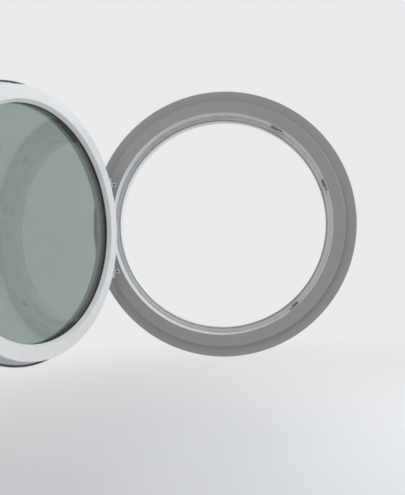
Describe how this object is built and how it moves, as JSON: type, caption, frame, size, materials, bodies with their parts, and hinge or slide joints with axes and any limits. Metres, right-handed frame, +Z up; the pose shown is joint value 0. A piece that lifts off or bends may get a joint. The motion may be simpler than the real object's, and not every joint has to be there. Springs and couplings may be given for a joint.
{
  "type": "porthole window",
  "caption": "Round white window: a ring frame with a wall wing, and a side-hung double-glazed ring sash that opens into the room, with a handle and an edge lock.",
  "frame": {"origin": "centre of the round opening on the wall plane, which is the back face of the frame's wing", "axes": "+X to the right seen from the room, +Y outdoors along the window's axis, +Z up"},
  "size_m": [1.1858, 0.9366, 1],
  "materials": {
    "frame_white": "satin white moulding",
    "gasket_black": "black gasket rubber",
    "pane_glass": "clear float glass",
    "spacer_black": "black warm edge bar",
    "edge_sealant": "cured sealant",
    "block_plastic": "moulded",
    "zinc_steel": "zinc plated",
    "hinge_white": "white coated",
    "pin_steel": "turned",
    "bush_plastic": "plain bearing plastic",
    "handle_white": "white coated, semi gloss"
  },
  "bodies": {
    "frame": {"frame_ring": "frame_white", "outer_extension": "frame_white", "frame_gasket": "gasket_black", "keep_upper": "zinc_steel", "keep_middle": "zinc_steel", "keep_lower": "zinc_steel", "keep_screws": "zinc_steel", "hinge_frame_leaf_upper": "hinge_white", "hinge_frame_leaf_lower": "hinge_white", "hinge_frame_screws": "zinc_steel", "hinge_pins": "pin_steel"},
    "sash": {"sash_ring": "frame_white", "glazing_bead": "frame_white", "outer_pane": "pane_glass", "inner_pane": "pane_glass", "spacer_bar": "spacer_black", "edge_seal": "edge_sealant", "outer_glazing_gasket": "gasket_black", "inner_glazing_gasket": "gasket_black", "sash_gasket": "gasket_black", "setting_blocks": "block_plastic", "lock_faceplate": "zinc_steel", "faceplate_screws": "zinc_steel", "gearbox_case": "zinc_steel", "gearbox_cover": "zinc_steel", "hinge_sash_leaf_upper": "hinge_white", "hinge_sash_leaf_lower": "hinge_white", "hinge_sash_screws": "zinc_steel", "hinge_bushes": "bush_plastic", "handle_rosette": "handle_white", "rosette_screws": "zinc_steel"},
    "handle": {"handle_lever": "handle_white", "handle_spindle": "zinc_steel", "drive_quadrant": "zinc_steel"},
    "rod": {"lock_rod": "zinc_steel", "lock_cams": "zinc_steel"}
  },
  "joints": [
    {"name": "sash_swing", "type": "hinge", "parent": "frame", "child": "sash", "pos_m": [-0.424, -0.048, 0], "axis": [0, 0, -1], "range_deg": [-104.3, 45.7]},
    {"name": "handle_turn", "type": "hinge", "parent": "sash", "child": "handle", "pos_m": [-0.63446, -0.82509, 0], "axis": [-0.969, 0.247, 0], "range_deg": [0, 90]},
    {"name": "rod_slide", "type": "hinge", "parent": "sash", "child": "rod", "pos_m": [-0.50596, -0.46467, 0], "axis": [-0.969, 0.247, 0], "range_deg": [0, 2.25]}
  ],
  "couplings": [
    {"joint": "rod_slide", "follows": "handle_turn", "ratio": 0.024952}
  ]
}
